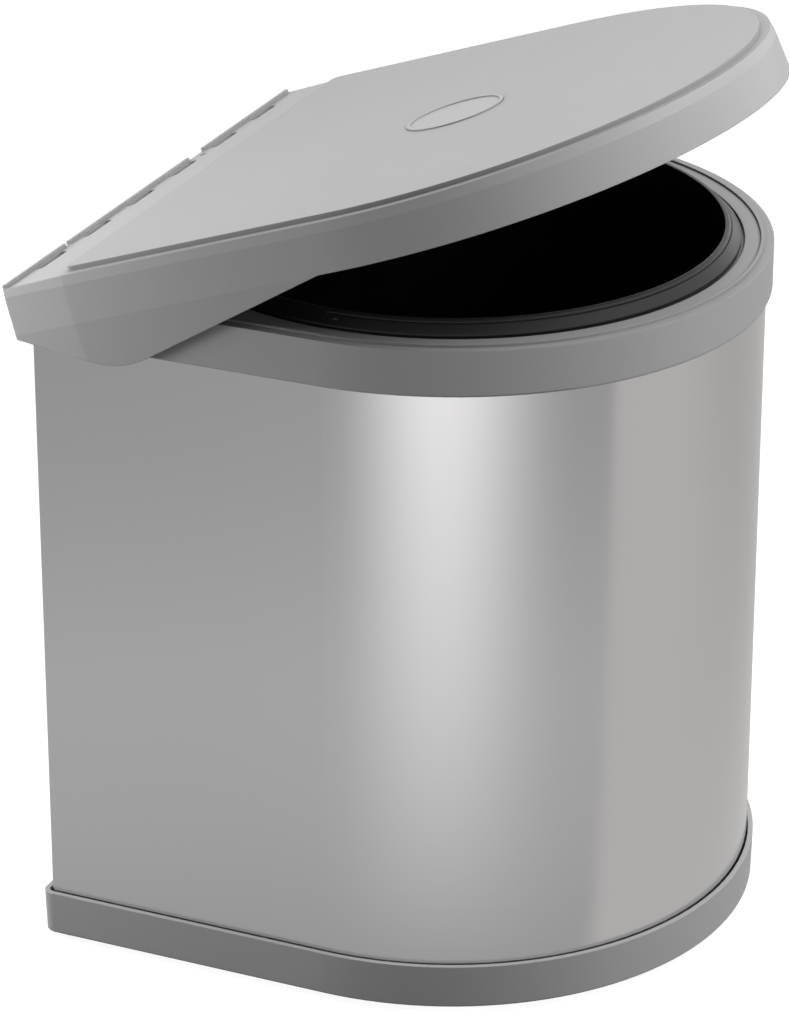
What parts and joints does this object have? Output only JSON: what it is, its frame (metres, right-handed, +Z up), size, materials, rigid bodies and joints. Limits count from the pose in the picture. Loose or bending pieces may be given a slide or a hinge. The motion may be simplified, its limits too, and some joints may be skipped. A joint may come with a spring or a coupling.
{
  "type": "door-mounted waste bin",
  "caption": "D-shaped waste bin for a cabinet door: steel-wrapped body, round inner bucket and a tipping lid, hung on a screwed bracket.",
  "frame": {"origin": "floor level, in the middle of the overall width and depth", "axes": "+Z up, +Y towards the cabinet door, +X to the right of someone who faces the bin's round front"},
  "size_m": [0.272, 0.2814, 0.3908],
  "materials": {
    "tray_plastic": "satin moulded",
    "stainless": "fine brushed",
    "rear_steel": "galvanised",
    "collar_plastic": "satin moulded",
    "bush_plastic": "smooth",
    "bucket_plastic": "satin moulded",
    "lid_plastic": "satin moulded",
    "badge_plastic": "satin moulded",
    "bracket_steel": "zinc plated",
    "rivet_steel": "plain",
    "rubber": "matte"
  },
  "bodies": {
    "door_bracket": {"door_bracket": "bracket_steel"},
    "bin": {"base_tray": "tray_plastic", "outer_shell": "stainless", "rear_panel": "rear_steel", "collar": "collar_plastic", "hinge_bush_left": "bush_plastic", "hinge_bush_right": "bush_plastic", "bucket": "bucket_plastic", "bucket_bail": "bucket_plastic", "foot_1": "rubber", "foot_2": "rubber", "foot_3": "rubber", "foot_4": "rubber", "rivet_1": "rivet_steel", "rivet_2": "rivet_steel", "rivet_3": "rivet_steel", "rivet_4": "rivet_steel", "rivet_5": "rivet_steel", "rivet_6": "rivet_steel", "bumper_1": "rubber", "bumper_2": "rubber", "bumper_3": "rubber", "bumper_4": "rubber"},
    "lid": {"lid": "lid_plastic", "lid_badge": "badge_plastic"}
  },
  "joints": [
    {"name": "bin_lift", "type": "slide", "parent": "door_bracket", "child": "bin", "axis": [0, 0, 1], "range_m": [0, 0.012]},
    {"name": "lid_hinge", "type": "hinge", "parent": "bin", "child": "lid", "pos_m": [0, 0.0877, 0.2855], "axis": [-1, 0, 0], "range_deg": [-19.3, 0]}
  ]
}
